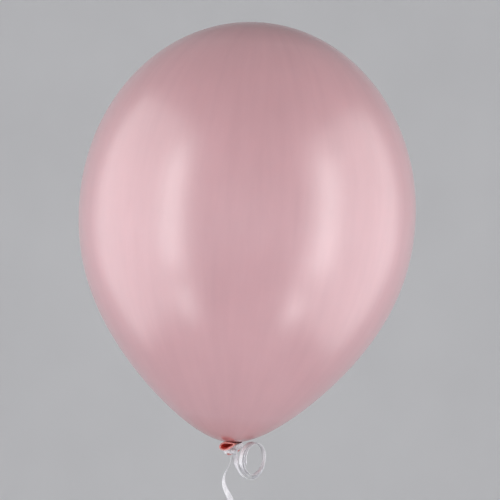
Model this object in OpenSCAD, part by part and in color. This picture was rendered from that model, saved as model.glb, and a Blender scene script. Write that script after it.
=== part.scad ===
// Inflated latex balloon with its folded neck, open tail and a tied curling ribbon.
// Millimetres. The origin is the middle of the tie on the balloon's axis, and +Z runs
// up that axis to the crown. The open tail and the ribbon's knot are on the -Y side.

/* [Balloon] */
// Diameter of the inflated balloon at its widest circle
balloon_d = 300; // [240:1:370]
// Height from the neck's opening up to the widest circle
belly_h = 205; // [165:1:250]
// Height from the widest circle up to the crown
crown_h = 170; // [135:1:210]
// Share by which the belly draws in towards the neck
belly_taper = 0.35; // [0.2:0.01:0.42]
// Thickness of the skin
skin_t = 0.6; // [0.5:0.05:0.8]

/* [Neck and tail] */
// Outside diameter of the neck where it leaves the balloon
neck_d = 10; // [8:0.5:12]
// Room under the belly, above the tie, where the open tail lies
tail_room = 4.3; // [4.3:0.05:7]
// Width of the bunched latex inside the tie
bunch_w = 17.6; // [14:0.1:21]
// Depth of the bunched latex inside the tie, front to back
bunch_depth = 12.4; // [10:0.1:15]
// Angle by which the tie drops towards the tail's side
tie_tilt = 24; // [15:1:26]
// Width of the open mouth of the tail
mouth_w = 13; // [10:0.1:15.6]
// Height of the squashed mouth of the tail
mouth_gap = 6.6; // [5:0.1:7]
// Thickness of the latex in the tail
tail_t = 0.7; // [0.5:0.05:1]
// Thickness of the rolled lip around the mouth
lip_d = 1.6; // [1.2:0.1:1.9]

/* [Ribbon] */
// Width of the flat ribbon
ribbon_w = 5; // [4:0.1:6]
// Thickness of the ribbon's stand-in along its free stretches
ribbon_t = 1.6; // [1.2:0.1:1.9]
// Thickness of the ribbon's turns around the neck
wrap_t = 0.6; // [0.4:0.05:1]
// Diameter of the ribbon's knot
knot_d = 4.4; // [3.5:0.1:5]
// Length of the ribbon's knot
knot_l = 7.4; // [6.5:0.1:9]
// Gap between the ribbon's knot and what it moves against
knot_gap = 0.4; // [0.3:0.05:0.6]

/* [Ribbon curl] */
// Outside diameter of the curl's largest turn
curl_d = 34.2; // [28:0.1:35]
// Thickness of the curl's turns from the inside to the outside
curl_wall = 6; // [5:0.1:8]
// Number of turns in the curl
curl_turns = 3; // [2:1:4]
// Distance between turns along the curl's axis
curl_pitch = 2; // [1.8:0.1:2.5]
// Angle by which the curl's axis turns away from the front
curl_turn = 39; // [30:1:45]

/* [Ribbon coil] */
// Diameter of the put-away coil at the middle of its turns
coil_d = 58; // [48:0.5:60]
// Number of turns that lie beside each other
coil_columns = 3; // [2:1:4]
// Number of turns that lie over each other
coil_layers = 2; // [1:1:3]
// Distance between turns that lie beside each other
coil_pitch = 5.3; // [5:0.1:6.5]
// Distance between turns that lie over each other
coil_rise = 2.2; // [1.9:0.1:3]
// Thickness of the coil's tie
coil_tie_t = 0.8; // [0.6:0.1:1.2]
// Length of coil that the tie covers
coil_tie_w = 6; // [4:0.5:9]

/* [Hidden] */

latex_pink = [0.86, 0.68, 0.70];
latex_deep = [0.80, 0.32, 0.30];
ribbon_white = [0.86, 0.86, 0.89];

$fn = 96;

// Inflated skin: the belly is an ellipse drawn in by a power of its depth, the crown a plain one.
// The room for the tail is measured at tail_reach from the axis.
taper_power = 2.5;
opening_lip = 1;
arc_steps = 30;
tail_reach = 12;
bunch_top = ribbon_w / 2;
widest_r = balloon_d / 2;
function low_t(r) = acos(r / widest_r / (1 - belly_taper));
open_t = low_t(neck_d / 2);
reach_t = low_t(tail_reach);
neck_h = bunch_top + tail_room - opening_lip - belly_h * (sin(open_t) - sin(reach_t));
widest_z = neck_h + opening_lip + belly_h * sin(open_t);
function belly_r(t, inset) = (widest_r - inset) * cos(t) * (1 - belly_taper * pow(sin(t), taper_power));
function skin_line(inset) = concat(
    [for (i = [0 : arc_steps]) let (t = open_t * (1 - i / arc_steps))
        [belly_r(t, inset), widest_z - (belly_h - inset) * sin(t)]],
    [for (i = [1 : arc_steps]) let (t = 90 * i / arc_steps)
        [i == arc_steps ? 0 : (widest_r - inset) * cos(t), widest_z + (crown_h - inset) * sin(t)]]);

// The tie's own frame: tilted about Y, its middle off the balloon's axis towards the tail
tie_at = [3, -2.5, 0];
tie_x = [cos(tie_tilt), 0, sin(tie_tilt)];
tie_z = [-sin(tie_tilt), 0, cos(tie_tilt)];
y_axis = [0, 1, 0];
function in_tie(p) = tie_at + p[0] * tie_x + p[1] * y_axis + p[2] * tie_z;

// Neck: from the balloon's round opening to its place on the bunch
neck_foot = [-2.6, 2.4, bunch_top];
neck_foot_r = [4.4, 2.8];

// Fold: the neck turns back up below the tie
fold_back_y = 2.4;
fold_front_y = -3.2;
fold_back_r = [5.2, 1.9];
fold_front_r = [6.2, 1.6];
fold_steps = 8;

// Tail: from the front of the bunch, over the ribbon's edge, to the mouth. Its wall thickens
// from tail_t at the mouth by these shares at the bend and at the foot.
tail_foot = [-3.6, -3, bunch_top];
tail_foot_r = [3.6, 1.6];
tail_floor = 0.8;
tail_lift = 0.9;
bend_wall = 1.1;
foot_wall = 1.2;
mouth_inset = 4.4;
mouth_reach = 4.8;
mouth_rise = 2.6;
mouth_at = in_tie([mouth_inset - bunch_w / 2, -mouth_reach - bunch_depth / 2, bunch_top + mouth_rise]);
mouth_x = unit([1, -0.3, 0.3]);
mouth_out = unit([-0.35, -0.85, 0.38]);
mouth_y = unit(cross(mouth_out, mouth_x));

// Knot: in front of the wrap, clear of it, because it turns with the ribbon
knot_at = [3.5, tie_at[1] - bunch_depth / 2 - wrap_t - knot_gap - knot_d / 2, -2];
knot_end_r = 1.2;

// Routes, from the knot: x, y, z and the heading of the ribbon's width, in degrees from +X
lead_route = [
    [1.9, 0, -2.7, 0], [2.1, -0.6, -5.5, -12], [2.8, -2.2, -9, -40], [4.2, -4.6, -12.8, -64],
    [6.2, -6.8, -16.3, -66], [8.6, -7.4, -19.2, -54]
];
tail_route = [
    [-2, -1.4, -2.7, 90], [-2.2, -1.4, -8, 90], [-3.7, -1.2, -13.5, 82], [-6.2, -1, -19.5, 72],
    [-7.1, -0.7, -25.5, 60], [-6.2, -0.4, -30.5, 46], [-4, -0.2, -35.2, 30], [-1.1, 0, -40, 15],
    [1.5, 0, -45, 8], [4.3, 0, -51, 14], [6.3, 0, -57.5, 32], [6.5, 0, -64, 55],
    [3.8, 0, -69.8, 78], [-1.2, 0, -73.6, 90], [-7, 0, -74.9, 90]
];
route_steps = 3;
tube_sides = 8;

// Curl: its ring is level across the direction curl_level, and the lead ends at its lower left
curl_level = [cos(curl_turn), sin(curl_turn), 0];
curl_axis = [sin(curl_turn), -cos(curl_turn), 0];
curl_start = 47.5;
curl_start_r = curl_d / 2 - ribbon_t / 3;
curl_shift = 0.5;
curl_at = knot_at + place(lead_route[len(lead_route) - 1]) - curl_shift * curl_axis
    + curl_start_r * (cos(curl_start) * curl_level + sin(curl_start) * [0, 0, 1]);
curl_w = (curl_turns - 1) * curl_pitch + ribbon_w;

// Coil: its axis is Y, and its outermost turn starts at its top, where the hanging ribbon ends.
// The turns lie loosely, so the coil is coil_play wider than they are.
coil_start_r = (coil_d + (coil_layers - 1) * coil_rise) / 2;
coil_at = knot_at + place(tail_route[len(tail_route) - 1]) - [0, 0, coil_start_r];
coil_play = 1;
coil_half_w = ((coil_columns - 1) * coil_pitch + ribbon_w + coil_play) / 2;
coil_half_t = ((coil_layers - 1) * coil_rise + ribbon_t) / 2;
coil_corner = 0.6;
coil_tie_angle = coil_tie_w / (coil_d / 2) * 180 / PI;

function unit(v) = v / norm(v);

// An ellipse of points around a centre, in the plane of the directions u and v
function oval(at, u, v, r, n = 40) =
    [for (i = [0 : n - 1]) at + u * r[0] * cos(360 * i / n) + v * r[1] * sin(360 * i / n)];

// A closed solid through a list of rings, which all have the same number of points
module skin(rings) {
    n = len(rings[0]);
    last = len(rings) - 1;
    polyhedron(
        points = [for (ring = rings) each ring],
        faces = concat(
            [[for (i = [0 : n - 1]) i]],
            [for (k = [0 : last - 1], i = [0 : n - 1]) let (j = (i + 1) % n)
                each [[k * n + j, k * n + i, (k + 1) * n + i],
                      [k * n + j, (k + 1) * n + i, (k + 1) * n + j]]],
            [[for (i = [n - 1 : -1 : 0]) last * n + i]]),
        convexity = 6);
}

// A smooth curve through hand-placed points, a few steps between each pair
function on_route(p, k, s) =
    let (
        a = p[max(k - 1, 0)], b = p[k], c = p[k + 1], d = p[min(k + 2, len(p) - 1)])
    0.5 * (2 * b + (c - a) * s + (2 * a - 5 * b + 4 * c - d) * s * s + (3 * b - a - 3 * c + d) * s * s * s);
function smooth(p) = concat(
    [for (k = [0 : len(p) - 2], s = [0 : route_steps - 1]) on_route(p, k, s / route_steps)],
    [p[len(p) - 1]]);
function place(p) = [p[0], p[1], p[2]];

// A flat ribbon's tube along a route
module ribbon_tube(route) {
    line = smooth(route);
    last = len(line) - 1;
    skin([for (k = [0 : last])
        let (
            along = unit(place(line[min(k + 1, last)]) - place(line[max(k - 1, 0)])),
            level = [cos(line[k][3]), sin(line[k][3]), 0],
            across = unit(level - (level * along) * along),
            through = cross(along, across))
        oval(place(line[k]), across, through, [ribbon_w / 2, ribbon_t / 2], tube_sides)]);
}

// The outline of the coil's turns, cut through, at the coil's radius
module coil_section(grow) {
    t = coil_half_t + grow;
    w = coil_half_w + grow;
    translate([coil_d / 2, 0])
        polygon([
            [-t + coil_corner, -w], [t - coil_corner, -w], [t, -w + coil_corner], [t, w - coil_corner],
            [t - coil_corner, w], [-t + coil_corner, w], [-t, w - coil_corner], [-t, -w + coil_corner]]);
}

module tie_oval(grow) {
    polygon(oval([0, 0], [1, 0], [0, 1], [bunch_w / 2 + grow, bunch_depth / 2 + grow], 64));
}

module in_tie_frame() {
    translate(tie_at)
        rotate([0, -tie_tilt, 0])
            children();
}

module envelope() {
    outer = skin_line(0);
    inner = skin_line(skin_t);
    color(latex_pink)
        rotate_extrude()
            polygon(concat(
                [[outer[0][0], neck_h]], outer,
                [for (i = [len(inner) - 1 : -1 : 1]) inner[i]],
                [[outer[0][0] - skin_t, inner[0][1]], [outer[0][0] - skin_t, neck_h]]));
}

module neck() {
    color(latex_pink)
        skin([
            oval([0, 0, neck_h], [1, 0, 0], y_axis, [neck_d / 2, neck_d / 2]),
            oval(in_tie(neck_foot), tie_x, y_axis, neck_foot_r)]);
}

module bunch() {
    color(latex_deep)
        in_tie_frame()
            linear_extrude(height = ribbon_w, center = true)
                tie_oval(0);
}

module neck_fold() {
    middle_y = (fold_back_y + fold_front_y) / 2;
    bend_r = (fold_back_y - fold_front_y) / 2;
    color(latex_deep)
        skin([for (i = [0 : fold_steps])
            let (
                s = i / fold_steps,
                a = 180 * s,
                out = cos(a) * y_axis - sin(a) * tie_z,
                at = in_tie([neck_foot[0] * (1 - s), middle_y, -bunch_top]) + bend_r * out)
            oval(at, tie_x, out, fold_back_r * (1 - s) + fold_front_r * s)]);
}

module tail() {
    foot = in_tie(tail_foot);
    mouth_r = [mouth_w / 2, mouth_gap / 2];
    wall = [tail_t, tail_t];
    floor_at = foot + tail_floor * tie_z;
    bend_at = (foot + mouth_at) / 2 + [0, 0, tail_lift];
    bend_x = unit(tie_x + mouth_x);
    bend_y = unit(y_axis + mouth_y);
    bend_r = (tail_foot_r + mouth_r) / 2;
    color(latex_deep)
        skin([
            oval(foot, tie_x, y_axis, tail_foot_r),
            oval(bend_at, bend_x, bend_y, bend_r),
            oval(mouth_at, mouth_x, mouth_y, mouth_r),
            oval(mouth_at, mouth_x, mouth_y, mouth_r - wall),
            oval(bend_at, bend_x, bend_y, bend_r - bend_wall * wall),
            oval(floor_at, tie_x, y_axis, tail_foot_r - foot_wall * wall)]);
}

module lip() {
    sides = 10;
    steps = 40;
    rim = [(mouth_w - tail_t) / 2, (mouth_gap - tail_t) / 2];
    ring_points = [for (k = [0 : steps - 1], i = [0 : sides - 1])
        let (
            a = 360 * k / steps,
            b = 360 * i / sides,
            out = unit(mouth_x * cos(a) * rim[1] + mouth_y * sin(a) * rim[0]))
        mouth_at + mouth_x * rim[0] * cos(a) + mouth_y * rim[1] * sin(a)
            + lip_d / 2 * (out * cos(b) + mouth_out * sin(b))];
    color(latex_deep)
        polyhedron(
            points = ring_points,
            faces = [for (k = [0 : steps - 1], i = [0 : sides - 1])
                let (
                    k2 = (k + 1) % steps,
                    i2 = (i + 1) % sides)
                each [[k * sides + i, k2 * sides + i, k2 * sides + i2],
                      [k * sides + i, k2 * sides + i2, k * sides + i2]]],
            convexity = 6);
}

module ribbon_wrap() {
    color(ribbon_white)
        in_tie_frame()
            linear_extrude(height = ribbon_w, center = true)
                difference() {
                    tie_oval(wrap_t);
                    tie_oval(0);
                }
}

module ribbon_knot() {
    color(ribbon_white)
        translate(knot_at)
            rotate([0, 90, 0])
                rotate_extrude()
                    polygon([
                        [0, -knot_l / 2], [knot_end_r, -knot_l / 2], [knot_d / 2, -knot_l / 4],
                        [knot_d / 2, knot_l / 4], [knot_end_r, knot_l / 2], [0, knot_l / 2]]);
}

module curl_lead() {
    color(ribbon_white)
        translate(knot_at)
            ribbon_tube(lead_route);
}

module ribbon_curl() {
    outer_r = curl_d / 2;
    inner_r = outer_r - curl_wall;
    color(ribbon_white)
        translate(curl_at)
            rotate([90, 0, curl_turn])
                rotate_extrude()
                    translate([inner_r, -curl_w / 2])
                        square([curl_wall, curl_w]);
}

module ribbon_tail() {
    color(ribbon_white)
        translate(knot_at)
            ribbon_tube(tail_route);
}

module ribbon_coil() {
    color(ribbon_white)
        translate(coil_at)
            rotate([90, 0, 0])
                rotate_extrude()
                    coil_section(0);
}

module coil_tie() {
    color(ribbon_white)
        translate(coil_at)
            rotate([90, 0, 0])
                rotate([0, 0, 90 - coil_tie_angle / 2])
                    rotate_extrude(angle = coil_tie_angle)
                        difference() {
                            coil_section(coil_tie_t);
                            coil_section(0);
                        }
}

envelope();
neck();
bunch();
neck_fold();
tail();
lip();
ribbon_wrap();
ribbon_knot();
curl_lead();
ribbon_curl();
ribbon_tail();
ribbon_coil();
coil_tie();
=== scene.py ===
"""Looks of an inflated latex balloon with a folded, tied neck and a curling ribbon.

Metres, in the part's own frame: the origin is the middle of the tie on the balloon's axis,
+Z runs up that axis to the crown, and the open tail is on the -Y side.
"""
import math

import bmesh
import bpy
from mathutils import Matrix, Vector, noise


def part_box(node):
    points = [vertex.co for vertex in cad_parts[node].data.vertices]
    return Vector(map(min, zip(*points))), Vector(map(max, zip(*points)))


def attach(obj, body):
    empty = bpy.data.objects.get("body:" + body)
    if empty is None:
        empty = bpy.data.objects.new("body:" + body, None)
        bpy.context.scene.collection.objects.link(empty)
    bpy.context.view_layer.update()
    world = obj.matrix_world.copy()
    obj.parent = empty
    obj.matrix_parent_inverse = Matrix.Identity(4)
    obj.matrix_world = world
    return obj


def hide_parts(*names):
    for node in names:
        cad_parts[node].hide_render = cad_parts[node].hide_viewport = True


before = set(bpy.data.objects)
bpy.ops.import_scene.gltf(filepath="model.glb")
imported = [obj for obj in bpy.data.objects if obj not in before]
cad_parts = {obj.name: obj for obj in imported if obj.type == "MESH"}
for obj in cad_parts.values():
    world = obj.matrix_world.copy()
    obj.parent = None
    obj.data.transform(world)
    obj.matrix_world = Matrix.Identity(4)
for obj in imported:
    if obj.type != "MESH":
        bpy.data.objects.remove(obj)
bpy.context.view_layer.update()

MM = 0.001
X_AXIS, Y_AXIS, Z_AXIS = Vector((1, 0, 0)), Vector((0, 1, 0)), Vector((0, 0, 1))


# ---------------------------------------------------------------- sizes

# The balloon's profile: an ellipse drawn in towards the neck below, a plain one above
BELLY_H = 205 * MM
BELLY_TAPER = 0.35
TAPER_POWER = 2.5
ENVELOPE_LOW, ENVELOPE_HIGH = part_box("envelope")
WIDEST_R = (ENVELOPE_HIGH.x - ENVELOPE_LOW.x) / 2
CROWN_Z = ENVELOPE_HIGH.z
NECK_R = 5 * MM
BELLY_BASE_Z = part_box("neck")[1].z + 1 * MM
OPEN_T = math.acos(NECK_R / WIDEST_R / (1 - BELLY_TAPER))
WIDEST_Z = BELLY_BASE_Z + BELLY_H * math.sin(OPEN_T)
CROWN_H = CROWN_Z - WIDEST_Z

# The tie's own frame, tilted about Y
TIE_TILT = math.radians(24)
TIE_AT = Vector((3, -2.5, 0)) * MM
TIE_X = Vector((math.cos(TIE_TILT), 0, math.sin(TIE_TILT)))
TIE_Z = Vector((-math.sin(TIE_TILT), 0, math.cos(TIE_TILT)))
BUNCH_R = (8.8, 6.2)

# Ribbon
RIBBON_W = 5 * MM
RIBBON_T = 0.14 * MM
RIBBON_CUP = 0.12 * MM
KNOT_LOW, KNOT_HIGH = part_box("ribbon_knot")
KNOT_AT = (KNOT_LOW + KNOT_HIGH) / 2

# Routes from the knot, in millimetres: x, y, z and the heading of the ribbon's width from +X.
# Each ribbon starts a little nearer the knot's middle than its route, inside the knot's folds.
LEAD_START = (1.9, 0, -1.3, 0)
LEAD_ROUTE = [
    (1.9, 0, -2.7, 0), (2.1, -0.6, -5.5, -12), (2.8, -2.2, -9, -40), (4.2, -4.6, -12.8, -64),
    (6.2, -6.8, -16.3, -66), (8.6, -7.4, -19.2, -54),
]
TAIL_START = (-1.9, -1.2, -1.3, 90)
TAIL_ROUTE = [
    (-2, -1.4, -2.7, 90), (-2.2, -1.4, -8, 90), (-3.7, -1.2, -13.5, 82), (-6.2, -1, -19.5, 72),
    (-7.1, -0.7, -25.5, 60), (-6.2, -0.4, -30.5, 46), (-4, -0.2, -35.2, 30), (-1.1, 0, -40, 15),
    (1.5, 0, -45, 8), (4.3, 0, -51, 14), (6.3, 0, -57.5, 32), (6.5, 0, -64, 55),
    (3.8, 0, -69.8, 78), (-1.2, 0, -73.6, 90), (-7, 0, -74.9, 90),
]
CURL_AT = KNOT_AT + Vector((17, 0, -7)) * MM
CURL_TURN = math.radians(39)
CURL_TURNS = 3
COIL_AT = KNOT_AT + Vector((-7, 0, -105)) * MM
COIL_R = 29 * MM
COIL_PITCH = 5.3 * MM
COIL_RISE = 2.2 * MM


# ---------------------------------------------------------------- mesh helpers

def mix(a, b, s):
    return a + (b - a) * s


def ease(s):
    s = min(max(s, 0), 1)
    return s * s * (3 - 2 * s)


def in_tie(x, y, z):
    return TIE_AT + x * MM * TIE_X + y * MM * Y_AXIS + z * MM * TIE_Z


def new_object(name, verts, faces, uvs=None):
    """A smooth-shaded mesh object, with one uv pair per vertex if they are given."""
    mesh = bpy.data.meshes.new(name)
    mesh.from_pydata([tuple(v) for v in verts], [], faces)
    mesh.polygons.foreach_set("use_smooth", [True] * len(mesh.polygons))
    if uvs:
        layer = mesh.uv_layers.new(name="strip")
        for loop in mesh.loops:
            layer.data[loop.index].uv = uvs[loop.vertex_index]
    mesh.update()
    obj = bpy.data.objects.new(name, mesh)
    bpy.context.scene.collection.objects.link(obj)
    return obj


def loft(name, rings, cap_first=False, cap_last=False, uvs=None):
    """A surface through closed rings that all have the same number of points."""
    n = len(rings[0])
    verts = [p for ring in rings for p in ring]
    faces = []
    for k in range(len(rings) - 1):
        for i in range(n):
            j = (i + 1) % n
            faces.append((k * n + i, k * n + j, (k + 1) * n + j, (k + 1) * n + i))
    if cap_first:
        faces.append(tuple(reversed(range(n))))
    if cap_last:
        faces.append(tuple((len(rings) - 1) * n + i for i in range(n)))
    return new_object(name, verts, faces, uvs)


def spline(points, k, s):
    """Catmull-Rom through a list of tuples, between its points k and k + 1."""
    a, b = points[max(k - 1, 0)], points[k]
    c, d = points[k + 1], points[min(k + 2, len(points) - 1)]
    return tuple(
        0.5 * (2 * q + (r - p) * s + (2 * p - 5 * q + 4 * r - t) * s ** 2 + (3 * q - p - 3 * r + t) * s ** 3)
        for p, q, r, t in zip(a, b, c, d))


def smooth(points, steps):
    line = [spline(points, k, i / steps) for k in range(len(points) - 1) for i in range(steps)]
    return line + [tuple(points[-1])]


def ribbon(name, line, width, thick, cup=0.0, crease=None, across_steps=8):
    """A thin closed strip along a line of (point, direction of its width).

    width is a number or a function of run; crease(s, run) lifts the strip off its line, s from
    -1 to 1 across and run from 0 to 1 along.
    """
    rings, uvs = [], []
    run = 0.0
    last = len(line) - 1
    for k, (at, side) in enumerate(line):
        along = (line[min(k + 1, last)][0] - line[max(k - 1, 0)][0]).normalized()
        side = (side - side.dot(along) * along).normalized()
        up = along.cross(side)
        if k:
            run += (at - line[k - 1][0]).length
        wide = width(k / last) if callable(width) else width
        front, rear = [], []
        for i in range(across_steps + 1):
            s = 2 * i / across_steps - 1
            lift = cup * (s * s - 0.4) + (crease(s, k / last) if crease else 0)
            middle = at + side * (s * wide / 2) + up * lift
            front.append(middle + up * (thick / 2))
            rear.append(middle - up * (thick / 2))
            uvs.append((s * wide / 2 / MM, run / MM))
        uvs += uvs[:-across_steps - 2:-1]
        rings.append(front + rear[::-1])
    return loft(name, rings, True, True, uvs)


# ---------------------------------------------------------------- camera

VIEW_WIDTH = 0.447
CAMERA_DISTANCE = 1.6
CAMERA_LEAN = math.radians(4.2)
CAMERA_TARGET = Vector((0.0049, 0, 0.1775))


def make_camera():
    data = bpy.data.cameras.new("camera")
    data.sensor_width = 36
    data.lens = data.sensor_width * CAMERA_DISTANCE / VIEW_WIDTH
    camera = bpy.data.objects.new("camera", data)
    bpy.context.scene.collection.objects.link(camera)
    up = Vector((-math.sin(CAMERA_LEAN), 0, math.cos(CAMERA_LEAN)))
    back = -Y_AXIS
    right = up.cross(back)
    turn = Matrix((right, up, back)).transposed()
    camera.matrix_world = Matrix.Translation(CAMERA_TARGET + back * CAMERA_DISTANCE) @ turn.to_4x4()
    bpy.context.scene.camera = camera


make_camera()


# ---------------------------------------------------------------- ribbon's free lengths

def hanging_line():
    """The long end: down from the knot, then six turns of a coil in two layers of three."""
    line = []
    for x, y, z, heading in smooth([TAIL_START] + TAIL_ROUTE, 8):
        a = math.radians(heading)
        line.append((KNOT_AT + Vector((x, y, z)) * MM, Vector((math.cos(a), math.sin(a), 0))))
    slots = [(0, 0), (0, 1), (1, 1), (1, 0), (1, -1), (0, -1)]
    steps = 72
    for turn, (layer, column) in enumerate(slots):
        next_layer, next_column = slots[min(turn + 1, len(slots) - 1)]
        for i in range(1, steps + 1):
            a = 360 * i / steps
            shift = ease((a - 285) / 70)
            r = COIL_R + COIL_RISE * (0.5 - mix(layer, next_layer, shift))
            r += 0.25 * MM * math.sin(math.radians(2 * a + 70 * turn))
            y = COIL_PITCH * mix(column, next_column, shift)
            y += 0.12 * MM * math.sin(math.radians(3 * a + 50 * turn))
            t = math.radians(90 + a)
            at = COIL_AT + Vector((r * math.cos(t), y, r * math.sin(t)))
            line.append((at, Y_AXIS.copy()))
    return line


def curl_line():
    """The short end: away from the knot, then turns that shrink and lie inside each other."""
    route = [LEAD_START] + LEAD_ROUTE
    level = Vector((math.cos(CURL_TURN), math.sin(CURL_TURN), 0))
    axis = Vector((math.sin(CURL_TURN), -math.cos(CURL_TURN), 0))
    heading = -51
    first_r, last_r = 16.7, 13.0
    start, sweep = 229, 360 * CURL_TURNS - 25
    squash, slide_by = 0.85, 2.0
    steps = 18 * CURL_TURNS
    # Over these steps the first turn drifts from the lead's end to its own place
    drift_steps = 7
    for i in range(steps + 1):
        s = i / steps
        t = math.radians(start + sweep * s)
        r = mix(first_r, last_r, s)
        slide = slide_by * (CURL_TURNS - 1) * (s - 0.5) + 0.3
        at = (CURL_AT - KNOT_AT) / MM
        at = at + level * (squash * r * math.cos(t) + 0.6) + axis * slide
        at = at + Z_AXIS * (r * math.sin(t) + 0.8 * (first_r - r))
        if i == 0:
            drift = Vector(LEAD_ROUTE[-1][:3]) - at
        else:
            at = at + drift * (1 - ease(i / drift_steps))
            route.append((at.x, at.y, at.z, heading))
    line = []
    for x, y, z, heading in smooth(route, 5):
        a = math.radians(heading)
        line.append((KNOT_AT + Vector((x, y, z)) * MM, Vector((math.cos(a), math.sin(a), 0))))
    return line


HANGING_LINE = hanging_line()
hanging_ribbon = ribbon("hanging_ribbon", HANGING_LINE, RIBBON_W, RIBBON_T, RIBBON_CUP)
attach(hanging_ribbon, "ribbon")
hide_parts("ribbon_tail", "ribbon_coil")

CURL_LINE = curl_line()
curl_ribbon = ribbon(
    "curl_ribbon", CURL_LINE, lambda run: RIBBON_W * (0.7 + 0.3 * ease(run / 0.03)), RIBBON_T, RIBBON_CUP)
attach(curl_ribbon, "curl")
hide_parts("curl_lead", "ribbon_curl")


# ---------------------------------------------------------------- materials

def material(name):
    mat = bpy.data.materials.new(name)
    mat.use_nodes = True
    tree = mat.node_tree
    tree.nodes.clear()
    out = tree.nodes.new("ShaderNodeOutputMaterial")
    shader = tree.nodes.new("ShaderNodeBsdfPrincipled")
    tree.links.new(shader.outputs["BSDF"], out.inputs["Surface"])
    return mat, tree, shader


def noise_node(tree, vector, scale, detail=3.0, rough=0.5):
    node = tree.nodes.new("ShaderNodeTexNoise")
    node.inputs["Scale"].default_value = scale
    node.inputs["Detail"].default_value = detail
    node.inputs["Roughness"].default_value = rough
    tree.links.new(vector, node.inputs["Vector"])
    return node.outputs["Fac"]


def ramp(tree, fac, stops):
    node = tree.nodes.new("ShaderNodeValToRGB")
    tree.links.new(fac, node.inputs["Fac"])
    elements = node.color_ramp.elements
    while len(elements) < len(stops):
        elements.new(0.5)
    for element, (at, colour) in zip(elements, stops):
        element.position = at
        element.color = (*colour, 1)
    return node.outputs["Color"]


def span(tree, value, low, high, to_low, to_high):
    node = tree.nodes.new("ShaderNodeMapRange")
    for socket, number in zip(("From Min", "From Max", "To Min", "To Max"), (low, high, to_low, to_high)):
        node.inputs[socket].default_value = number
    tree.links.new(value, node.inputs["Value"])
    return node.outputs["Result"]


def grey(tree, value):
    node = tree.nodes.new("ShaderNodeCombineColor")
    for channel in ("Red", "Green", "Blue"):
        tree.links.new(value, node.inputs[channel])
    return node.outputs["Color"]


def blend_colour(tree, kind, fac, a, b):
    node = tree.nodes.new("ShaderNodeMix")
    node.data_type = "RGBA"
    node.blend_type = kind
    for socket, value in ((node.inputs[0], fac), (node.inputs[6], a), (node.inputs[7], b)):
        if isinstance(value, bpy.types.NodeSocket):
            tree.links.new(value, socket)
        else:
            socket.default_value = value if isinstance(value, float) else (*value, 1)
    return node.outputs[2]


def bump(tree, shader, height, distance, strength):
    node = tree.nodes.new("ShaderNodeBump")
    node.inputs["Distance"].default_value = distance
    node.inputs["Strength"].default_value = strength
    tree.links.new(height, node.inputs["Height"])
    tree.links.new(node.outputs["Normal"], shader.inputs["Normal"])


def object_coordinates(tree):
    return tree.nodes.new("ShaderNodeTexCoord").outputs["Object"]


def inflated_latex():
    """Pastel latex: paler where it is stretched most and deeper at the crown's cap; darker towards the neck,
    partly for the less stretched latex there and partly as painted shade.
    """
    mat, tree, shader = material("inflated_latex")
    place = object_coordinates(tree)
    split = tree.nodes.new("ShaderNodeSeparateXYZ")
    tree.links.new(place, split.inputs["Vector"])
    height = span(tree, split.outputs["Z"], 0.0, CROWN_Z, 0.0, 1.0)
    # Colour by height; the darkening towards the neck is partly the less stretched latex and partly painted
    # shade on the balloon's underside.
    tone = ramp(tree, height, [
        (0.0, (0.50, 0.11, 0.10)), (0.02, (0.48, 0.19, 0.20)), (0.085, (0.56, 0.30, 0.33)),
        (0.5, (0.62, 0.363, 0.395)), (0.93, (0.63, 0.345, 0.37)), (1.0, (0.50, 0.22, 0.235))])
    # Streaks run from pole to pole, as the dipped film stretched
    flat = tree.nodes.new("ShaderNodeCombineXYZ")
    tree.links.new(split.outputs["X"], flat.inputs["X"])
    tree.links.new(split.outputs["Y"], flat.inputs["Y"])
    around = tree.nodes.new("ShaderNodeVectorMath")
    around.operation = "NORMALIZE"
    tree.links.new(flat.outputs["Vector"], around.inputs[0])
    along = tree.nodes.new("ShaderNodeVectorMath")
    along.operation = "ADD"
    tree.links.new(around.outputs["Vector"], along.inputs[0])
    tree.links.new(place, along.inputs[1])
    streaks = span(tree, noise_node(tree, along.outputs["Vector"], 9.0, 5.0, 0.6), 0.1, 0.9, 0.94, 1.06)
    clouds = span(tree, noise_node(tree, place, 16.0, 3.0), 0.1, 0.9, 0.95, 1.05)
    grain = noise_node(tree, place, 1400.0, 2.0)
    for shade in (streaks, clouds, span(tree, grain, 0.1, 0.9, 0.98, 1.02)):
        tone = blend_colour(tree, "MULTIPLY", 1.0, tone, grey(tree, shade))
    tree.links.new(tone, shader.inputs["Base Color"])
    sheen = span(tree, noise_node(tree, place, 22.0, 2.0), 0.1, 0.9, 0.28, 0.34)
    tree.links.new(sheen, shader.inputs["Roughness"])
    shader.inputs["IOR"].default_value = 1.55
    shader.inputs["Subsurface Weight"].default_value = 0.12
    shader.inputs["Subsurface Radius"].default_value = (1.0, 0.45, 0.4)
    shader.inputs["Subsurface Scale"].default_value = 0.012
    shader.inputs["Coat Weight"].default_value = 1.0
    shader.inputs["Coat IOR"].default_value = 1.6
    shader.inputs["Coat Roughness"].default_value = 0.27
    bump(tree, shader, grain, 0.01 * MM, 0.15)
    return mat


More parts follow.
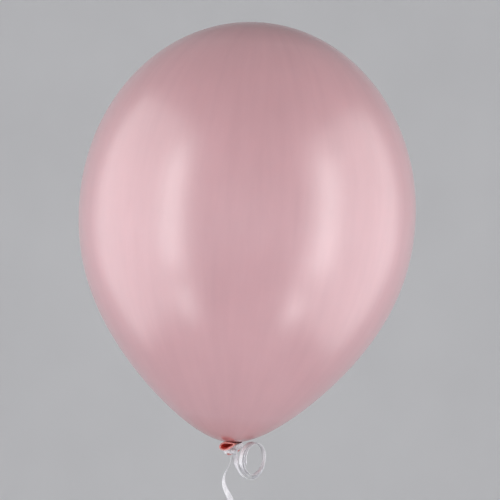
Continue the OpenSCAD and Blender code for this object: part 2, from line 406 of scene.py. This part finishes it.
def thick_latex(name, deep, pale):
    """Unstretched latex, with painted shade in its folds, deeper and more saturated, and painted light on
    its ridges, paler; noise lays both out.
    """
    mat, tree, shader = material(name)
    place = object_coordinates(tree)
    # Painted shade and light: the noise's low values paint deep as the shaded fold colour, its high values
    # pale as the lit ridge colour; it sets the roughness too.
    folds = noise_node(tree, place, 260.0, 4.0, 0.6)
    tone = ramp(tree, folds, [(0.3, deep), (0.7, pale)])
    powder = span(tree, noise_node(tree, place, 2600.0, 2.0), 0.35, 0.75, 0.93, 1.06)
    tone = blend_colour(tree, "MULTIPLY", 1.0, tone, grey(tree, powder))
    tree.links.new(tone, shader.inputs["Base Color"])
    tree.links.new(span(tree, folds, 0.3, 0.7, 0.32, 0.48), shader.inputs["Roughness"])
    shader.inputs["Subsurface Weight"].default_value = 0.2
    shader.inputs["Subsurface Radius"].default_value = (1.0, 0.3, 0.25)
    shader.inputs["Subsurface Scale"].default_value = 0.0015
    bump(tree, shader, noise_node(tree, place, 1500.0, 3.0), 0.05 * MM, 0.5)
    return mat


def ribbon_film():
    """Glossy polypropylene, with fine crimps across it and drawn lines along it."""
    mat, tree, shader = material("ribbon_film")
    place = tree.nodes.new("ShaderNodeUVMap")
    place.uv_map = "strip"
    split = tree.nodes.new("ShaderNodeSeparateXYZ")
    tree.links.new(place.outputs["UV"], split.inputs["Vector"])
    crimp_pitch = 0.45
    crimp = tree.nodes.new("ShaderNodeMath")
    crimp.operation = "SINE"
    pace = tree.nodes.new("ShaderNodeMath")
    pace.operation = "MULTIPLY"
    pace.inputs[1].default_value = 2 * math.pi / crimp_pitch
    tree.links.new(split.outputs["Y"], pace.inputs[0])
    tree.links.new(pace.outputs["Value"], crimp.inputs[0])
    squeeze = tree.nodes.new("ShaderNodeVectorMath")
    squeeze.operation = "MULTIPLY"
    squeeze.inputs[1].default_value = (4.0, 0.12, 1.0)
    tree.links.new(place.outputs["UV"], squeeze.inputs[0])
    drawn = noise_node(tree, squeeze.outputs["Vector"], 1.6, 3.0)
    tone = ramp(tree, drawn, [(0.3, (0.66, 0.66, 0.70)), (0.7, (0.80, 0.80, 0.83))])
    tree.links.new(tone, shader.inputs["Base Color"])
    tree.links.new(span(tree, drawn, 0.3, 0.7, 0.18, 0.3), shader.inputs["Roughness"])
    shader.inputs["Subsurface Weight"].default_value = 0.3
    shader.inputs["Subsurface Radius"].default_value = (1.0, 1.0, 1.0)
    shader.inputs["Subsurface Scale"].default_value = 0.001
    shader.inputs["Coat Weight"].default_value = 0.5
    shader.inputs["Coat Roughness"].default_value = 0.1
    height = tree.nodes.new("ShaderNodeMath")
    height.operation = "ADD"
    tree.links.new(crimp.outputs["Value"], height.inputs[0])
    tree.links.new(drawn, height.inputs[1])
    bump(tree, shader, height.outputs["Value"], 0.02 * MM, 0.4)
    return mat


LATEX = inflated_latex()
LATEX_OUTSIDE = thick_latex("tail_latex", (0.58, 0.14, 0.11), (0.80, 0.34, 0.31))
LATEX_FOLD = thick_latex("fold_latex", (0.52, 0.15, 0.13), (0.68, 0.30, 0.29))
# The mouth's inside: the tail's latex made far darker and redder, as painted shade in its hollow.
LATEX_INSIDE_PAINTED_SHADE = thick_latex("mouth_latex_painted_shade", (0.42, 0.014, 0.010), (0.70, 0.10, 0.075))
LATEX_LIP = thick_latex("lip_latex", (0.55, 0.16, 0.14), (0.80, 0.38, 0.36))
FILM = ribbon_film()
hanging_ribbon.data.materials.append(FILM)
curl_ribbon.data.materials.append(FILM)


# ---------------------------------------------------------------- balloon

def profile(t):
    """Radius and height at an angle from the widest circle, positive towards the neck."""
    if t > 0:
        draw_in = 1 - BELLY_TAPER * math.sin(t) ** TAPER_POWER
        return WIDEST_R * math.cos(t) * draw_in, WIDEST_Z - BELLY_H * math.sin(t)
    return WIDEST_R * math.cos(t), WIDEST_Z - CROWN_H * math.sin(t)


def make_envelope():
    """The inflated skin, from the tie up, with the pleats that fan out of the gathered neck."""
    around = 288
    pleats = 17
    near_steps, belly_steps, crown_steps = 44, 60, 56
    near_t = math.radians(68)
    angles = [OPEN_T - (OPEN_T - near_t) * (i / near_steps) ** 1.3 for i in range(near_steps)]
    angles += [near_t * (1 - i / belly_steps) for i in range(belly_steps)]
    angles += [-math.pi / 2 * i / crown_steps for i in range(crown_steps)]
    rings = []
    # The gathered neck, from the bunch up to the balloon's opening
    neck_steps = 10
    for k in range(neck_steps):
        s = k / neck_steps
        low = in_tie(-2.6, 2.6, 1.6)
        ring = []
        for i in range(around):
            a = 2 * math.pi * i / around
            pleat = math.cos(pleats * a + 0.8 * math.sin(2 * a))
            grow = 1 + 0.11 * pleat
            foot = low + (TIE_X * 5.2 * math.cos(a) + Y_AXIS * 3.4 * math.sin(a)) * MM * grow
            waist = 1 - 0.12 * math.sin(math.pi * s)
            top = Vector((math.cos(a), math.sin(a), 0)) * NECK_R * grow + Z_AXIS * (BELLY_BASE_Z - 0.3 * MM)
            at = mix(foot, top, s)
            centre = mix(low, Z_AXIS * BELLY_BASE_Z, s)
            ring.append(centre + (at - centre) * waist)
        rings.append(ring)
    for t in angles:
        r, z = profile(t)
        fade = math.exp(-(r - NECK_R) / (6.5 * MM))
        ring = []
        for i in range(around):
            a = 2 * math.pi * i / around
            pleat = math.cos(pleats * a + 0.8 * math.sin(2 * a))
            slow = noise.noise(Vector((math.cos(a) * 1.1, math.sin(a) * 1.1, z * 7)))
            grow = 1 + 0.11 * pleat * fade + 0.0022 * slow * (1 - fade)
            drop = (0.5 * MM * pleat - 0.5 * MM) * fade
            ring.append(Vector((r * grow * math.cos(a), r * grow * math.sin(a), z + drop)))
        rings.append(ring)
    rings.append([Vector((0, 0, CROWN_Z))] * around)
    return weld(loft("latex_balloon", rings))


def weld(obj):
    """Joins the points that fell together, such as the ring at a pole."""
    mesh = bmesh.new()
    mesh.from_mesh(obj.data)
    bmesh.ops.remove_doubles(mesh, verts=mesh.verts, dist=0.002 * MM)
    mesh.to_mesh(obj.data)
    mesh.free()
    return obj


balloon = make_envelope()
balloon.data.materials.append(LATEX)
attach(balloon, "balloon")
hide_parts("envelope", "neck")


# ---------------------------------------------------------------- bunch, fold and open tail

BUNCH_TOP = RIBBON_W / MM / 2
TAIL_FOOT = (-1.0, -3.2)
TAIL_FOOT_R = (6.0, 1.9)
MOUTH_AT = in_tie(-4.4, -11.0, BUNCH_TOP + 2.6)
MOUTH_X = Vector((1, -0.3, 0.3)).normalized()
MOUTH_OUT = Vector((-0.35, -0.85, 0.38)).normalized()
MOUTH_Y = MOUTH_OUT.cross(MOUTH_X).normalized()
MOUTH_R = (6.5, 3.3)
TAIL_T = 0.7
TAIL_LIFT = 0.9 * MM
LIP_R = 0.8
ROUND = 144


def pleat(a, count, sway=0.7):
    """A fold's height, -1 to 1, at an angle round the latex; ridges are wider than the valleys."""
    wave = math.cos(count * a + sway * math.sin(2 * a) + 0.5 * math.sin(3 * a))
    return 1 - 2 * abs((1 - wave) / 2) ** 1.6


def add_latex(obj, finishes, *nodes):
    for finish in finishes:
        obj.data.materials.append(finish)
    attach(obj, "balloon")
    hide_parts(*nodes)
    return obj


def make_bunch():
    """The gathered latex inside the ribbon's turns; its folds show above and below them."""
    rings = []
    heights = [-2.5, -2.5, -2.3, -1.6, 0, 1.6, 2.3, 2.5, 2.5]
    insets = [0.25, 0.75, 0.95, 0.985, 0.985, 0.985, 0.95, 0.75, 0.25]
    for z, inset in zip(heights, insets):
        ring = []
        for i in range(ROUND):
            a = 2 * math.pi * i / ROUND
            fold = inset * (1 - 0.035 + 0.035 * pleat(a, 19))
            crest = 0.25 * (pleat(a, 19) - 1) * (1 if abs(z) > 2.4 else 0)
            ring.append(in_tie(BUNCH_R[0] * fold * math.cos(a), BUNCH_R[1] * fold * math.sin(a),
                               z + math.copysign(crest, z) if z else 0))
        rings.append(ring)
    return loft("gathered_neck", rings, True, True)


def make_fold():
    """The neck's latex turning back up under the tie."""
    steps = 28
    back_y, front_y, pressed = 2.4, -3.2, 0.6
    middle_y = (back_y + front_y) / 2
    bend_r = (back_y - front_y) / 2 * MM
    rings = []
    for k in range(steps + 1):
        s = k / steps
        turn = math.pi * s
        out = math.cos(turn) * Y_AXIS - math.sin(turn) * TIE_Z
        reach = math.cos(turn) * Y_AXIS - pressed * math.sin(turn) * TIE_Z
        at = in_tie(-2.6 * (1 - s), middle_y, -BUNCH_TOP + 0.5) + reach * bend_r
        wide, deep = mix(5.2, 6.2, s), mix(1.5, 1.4, s)
        ring = []
        for i in range(ROUND):
            a = 2 * math.pi * i / ROUND
            grow = 0.93 + 0.07 * pleat(a + 0.15 * math.sin(3 * s), 11)
            ring.append(at + (TIE_X * wide * math.cos(a) + out * deep * math.sin(a)) * MM * grow)
        rings.append(ring)
    return loft("folded_neck", rings, True, True)


def rim_at(a, grow=0.0, out=0.0):
    """A point of the mouth's wavy rim, moved away from its middle and out of it, in millimetres."""
    wave = 0.45 * math.sin(2 * a + 0.6) + 0.2 * math.sin(5 * a)
    wide = (MOUTH_R[0] - TAIL_T / 2) * (1.06 + 0.06 * math.cos(a)) + grow
    tall = (MOUTH_R[1] - TAIL_T / 2) * (1.02 - (0.46 if math.sin(a) > 0 else 0.3) * math.cos(a)
                                        + 0.05 * math.sin(3 * a + 1)) + grow
    across = MOUTH_X * wide * math.cos(a) + MOUTH_Y * tall * math.sin(a)
    return MOUTH_AT + (across + MOUTH_OUT * (wave + out)) * MM


def make_tail():
    """The open funnel from the tie to the mouth, outside and inside, with pleats that fade upwards."""
    steps = 22
    rings = []

    def wall(s, inset):
        foot = in_tie(TAIL_FOOT[0], TAIL_FOOT[1], BUNCH_TOP - 0.15)
        ring = []
        for i in range(ROUND):
            a = 2 * math.pi * i / ROUND
            broad = 0.14 * (pleat(a, 8, 1.3) - 0.4) * (1 - s) ** 1.3
            grow = 1 + broad + 0.035 * pleat(a, 13, 0.4) * (1 - s ** 2)
            low = foot + (TIE_X * (TAIL_FOOT_R[0] - inset) * math.cos(a)
                          + Y_AXIS * (TAIL_FOOT_R[1] - inset) * math.sin(a)) * MM * grow
            high = rim_at(a, TAIL_T / 2 - inset)
            at = mix(low, high, s)
            flare = math.sin(math.pi * s) * -0.1
            middle = mix(foot, MOUTH_AT, s)
            ring.append(at + (at - middle) * flare + Z_AXIS * (TAIL_LIFT * math.sin(math.pi * s)))
        return ring

    for k in range(steps + 1):
        rings.append(wall(k / steps, 0.0))
    outside = len(rings) - 1
    for k in range(steps, 2, -1):
        rings.append(wall(k / steps, TAIL_T * 0.8))
    obj = loft("tail_funnel", rings, True, True)
    for face in obj.data.polygons:
        face.material_index = 1 if min(face.vertices) >= outside * ROUND else 0
    return obj


def make_lip():
    """The rolled bead around the mouth, thicker in some places than in others."""
    sides = 16
    rings = []
    for k in range(ROUND):
        a = 2 * math.pi * k / ROUND
        thick = LIP_R * (1 + 0.09 * math.sin(4 * a + 0.5) + 0.05 * math.sin(9 * a))
        rings.append([
            rim_at(a, thick * math.cos(2 * math.pi * i / sides), thick * math.sin(2 * math.pi * i / sides))
            for i in range(sides)])
    return loft("tail_lip", rings + rings[:1])


add_latex(make_bunch(), [LATEX_OUTSIDE], "bunch")
add_latex(make_fold(), [LATEX_FOLD], "neck_fold")
add_latex(make_tail(), [LATEX_OUTSIDE, LATEX_INSIDE_PAINTED_SHADE], "tail")
add_latex(weld(make_lip()), [LATEX_LIP], "lip")


# ---------------------------------------------------------------- ribbon round the neck, and its knot

def add_ribbon(obj, body, *nodes):
    obj.data.materials.append(FILM)
    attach(obj, body)
    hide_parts(*nodes)
    return obj


def make_wraps():
    """Turns of ribbon pulled tight round the bunch, so that they are creased along their length."""
    turns, steps = 2.6, 96
    line = []
    for k in range(int(turns * steps) + 1):
        a = 2 * math.pi * k / steps - 0.55 * math.pi
        lap = k / steps
        grow = 0.16 + 0.13 * lap
        shift = 0.55 * math.sin(a + 0.5) * (lap - 1.2) + 0.25 * math.sin(2 * a) + 0.35
        line.append((in_tie((BUNCH_R[0] + grow) * math.cos(a), (BUNCH_R[1] + grow) * math.sin(a), shift),
                     TIE_Z + 0.06 * math.sin(a + lap) * TIE_X))

    def crease(s, run):
        ridge = math.sin(9 * s + 5 * math.sin(11 * run) + 2 * run) + 0.6 * math.sin(17 * s - 23 * run)
        return 0.085 * MM * ridge

    def width(run):
        return RIBBON_W * (0.92 + 0.05 * math.sin(19 * run))

    return ribbon("neck_wraps", line, width, RIBBON_T, 0.0, crease, 24)


def make_knot():
    """The knot's own loop, which goes round the two ends and is pulled tight."""
    turns, steps = 1.7, 64
    line = []
    for k in range(int(turns * steps) + 1):
        a = 2 * math.pi * k / steps + 2.2
        grow = 1.55 + 0.3 * k / steps
        at = KNOT_AT + Vector((0.5 * math.sin(a / 2), grow * math.cos(a), 1.12 * grow * math.sin(a))) * MM
        line.append((at, X_AXIS + 0.22 * math.sin(a) * Z_AXIS))

    def crease(s, run):
        return (0.1 * math.sin(8 * s + 7 * run) + 0.07 * math.sin(15 * s - 11 * run)) * MM

    def width(run):
        return RIBBON_W * (0.78 + 0.1 * math.sin(9 * run))

    return ribbon("knot_loop", line, width, RIBBON_T, 0.3 * MM, crease, 20)


def make_knot_fold(name, way):
    """One of the two folds of ribbon that come out of the knot's sides and spread."""
    rings, uvs = [], []
    steps, around = 16, 60
    for k in range(steps + 1):
        s = k / steps
        spread = 0.75 + 0.75 * ease(s)
        centre = KNOT_AT + Vector((way * (0.6 + 3.0 * s), 0.4 * s, way * 0.35 * math.sin(2 * s))) * MM
        ring = []
        for i in range(around):
            a = 2 * math.pi * i / around
            pinch = 1 + 0.2 * math.sin(6 * a + 1.5 * s + way) * (0.4 + 0.6 * s)
            close = 1 if s < 0.9 else math.sqrt(max(1 - ((s - 0.9) / 0.1) ** 2, 0.04))
            at = Vector((0, spread * 0.95 * math.cos(a), spread * 1.25 * math.sin(a))) * pinch * close * MM
            ring.append(centre + at)
            uvs.append((a * spread, 3.0 * s))
        rings.append(ring)
    return loft(name, rings, True, True, uvs)


def make_coil_tie():
    """A short length of the same ribbon that goes round the coil's turns twice."""
    coil_t, coil_w = COIL_RISE + 1.6 * MM, 2 * COIL_PITCH + RIBBON_W
    half_t = coil_t / 2 + 0.1 * MM
    half_w = coil_w / 2 + 0.5 * MM
    top = COIL_AT + Z_AXIS * COIL_R
    line = []
    steps = 80
    for k in range(int(1.8 * steps) + 1):
        a = 2 * math.pi * k / steps + 0.6
        grow = 0.22 * MM * k / steps
        # A rounded oblong
        c, d = math.cos(a), math.sin(a)
        y = math.copysign(abs(c) ** 0.35, c) * (half_w + grow)
        z = math.copysign(abs(d) ** 0.55, d) * (half_t + grow)
        x = 0.5 * MM * math.sin(a * 0.7)
        line.append((top + Vector((x, y, z)), X_AXIS + 0.08 * math.sin(a) * Y_AXIS))

    def crease(s, run):
        return 0.06 * MM * math.sin(10 * s + 9 * run)

    return ribbon("coil_tie_band", line, RIBBON_W * 0.96, RIBBON_T, 0.0, crease, 16)


add_ribbon(make_wraps(), "balloon", "ribbon_wrap")
add_ribbon(make_knot(), "knot", "ribbon_knot")
add_ribbon(make_knot_fold("knot_fold_left", -1), "knot", "ribbon_knot")
add_ribbon(make_knot_fold("knot_fold_right", 1), "knot", "ribbon_knot")
coil_tie = add_ribbon(make_coil_tie(), "ribbon", "coil_tie")


# ---------------------------------------------------------------- studio

FLOOR_Z = -2.6


def make_floor():
    """A pale sheet that lies flat under the balloon and curves up far away on every side."""
    flat_r, bend_r, wall = 2.8, 1.6, 3.4
    profile_points = [(flat_r * i / 6, 0) for i in range(1, 7)]
    for i in range(1, 13):
        a = math.pi / 2 * i / 12
        profile_points.append((flat_r + bend_r * math.sin(a), bend_r * (1 - math.cos(a))))
    profile_points.append((flat_r + bend_r, bend_r + wall))
    rings = [
        [Vector((r * math.cos(2 * math.pi * i / 96), r * math.sin(2 * math.pi * i / 96), FLOOR_Z + z))
         for i in range(96)]
        for r, z in profile_points]
    floor = loft("studio_floor", rings, cap_first=True)
    mat, tree, shader = material("studio_paper")
    paper = noise_node(tree, object_coordinates(tree), 3.0, 2.0)
    tree.links.new(ramp(tree, paper, [(0.3, (0.76, 0.76, 0.77)), (0.7, (0.79, 0.79, 0.80))]),
                   shader.inputs["Base Color"])
    shader.inputs["Roughness"].default_value = 0.9
    floor.data.materials.append(mat)


def area_light(name, azimuth, elevation, distance, size, power):
    """A softbox that faces the balloon's middle; azimuth is from the camera's side, to the right."""
    data = bpy.data.lights.new(name, "AREA")
    data.shape = "RECTANGLE"
    data.size, data.size_y = size
    data.energy = power
    light = bpy.data.objects.new(name, data)
    bpy.context.scene.collection.objects.link(light)
    a, e = math.radians(azimuth), math.radians(elevation)
    away = Vector((math.sin(a) * math.cos(e), -math.cos(a) * math.cos(e), math.sin(e)))
    light.location = Vector((0, 0, WIDEST_Z)) + away * distance
    light.rotation_euler = away.to_track_quat("Z", "Y").to_euler()
    return light


def make_light():
    """At each side a broad panel, a narrow strip and a small low light; a front fill; a dim room."""
    for side, strip_at in ((-1, 50), (1, 54)):
        area_light(f"panel_{side + 1}", side * 78, -3, 2.0, (3.3, 4.1), 48)
        area_light(f"strip_{side + 1}", side * strip_at, 1, 1.9, (0.45, 1.9), 6)
        area_light(f"low_{side + 1}", side * 47, -46, 1.9, (0.3, 0.45), 1.3)
    fill = area_light("fill", 0, 0, 2.6, (2.2, 1.4), 10)
    fill.visible_glossy = False
    world = bpy.data.worlds.new("studio_air")
    bpy.context.scene.world = world
    world.use_nodes = True
    world.node_tree.nodes["Background"].inputs["Color"].default_value = (0.95, 0.96, 1.0, 1)
    world.node_tree.nodes["Background"].inputs["Strength"].default_value = 0.3
    bpy.context.scene.view_settings.view_transform = "Standard"


make_floor()
make_light()
